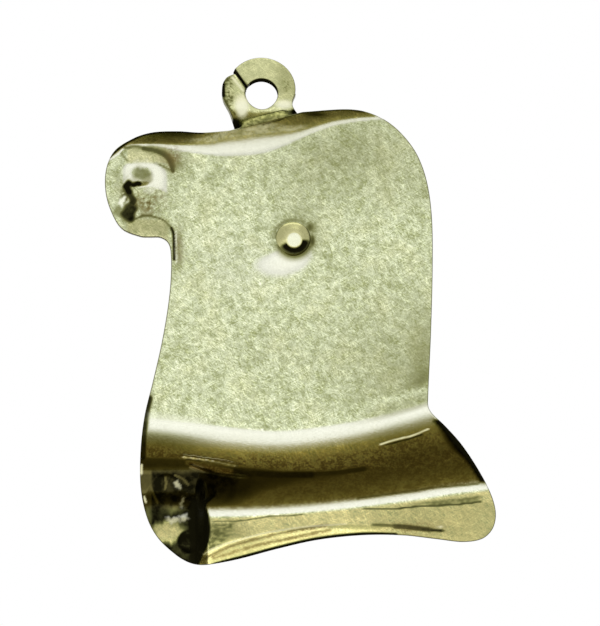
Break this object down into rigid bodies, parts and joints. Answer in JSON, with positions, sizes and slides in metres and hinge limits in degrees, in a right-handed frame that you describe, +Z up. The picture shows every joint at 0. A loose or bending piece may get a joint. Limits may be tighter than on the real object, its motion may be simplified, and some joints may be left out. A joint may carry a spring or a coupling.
{
  "type": "scroll charm",
  "caption": "Small hanging charm of stamped sheet metal shaped as an unrolled scroll, with a riveted boss and a soldered split loop whose arm twists open.",
  "frame": {"origin": "centre of the hole in the hanging loop, in the middle of the loop's thickness", "axes": "+Z up as it hangs, +X to the viewer's right, the pictured face looks towards -Y"},
  "size_m": [0.0203, 0.004, 0.0262],
  "materials": {
    "scroll": "satin, rubbed and tarnished",
    "loop": "satin, tarnished",
    "solder": "dull solder",
    "rivet": "rubbed bright on its crown"
  },
  "bodies": {
    "charm": {"scroll_body": "scroll", "hanging_loop": "loop", "solder_seam": "solder", "center_rivet": "rivet"},
    "jaw": {"loop_jaw": "loop"}
  },
  "joints": [
    {"name": "jaw_twist", "type": "hinge", "parent": "charm", "child": "jaw", "pos_m": [0.00129, 0, 0], "axis": [0, 0.309, 0.9511], "range_deg": [0, 40]}
  ]
}
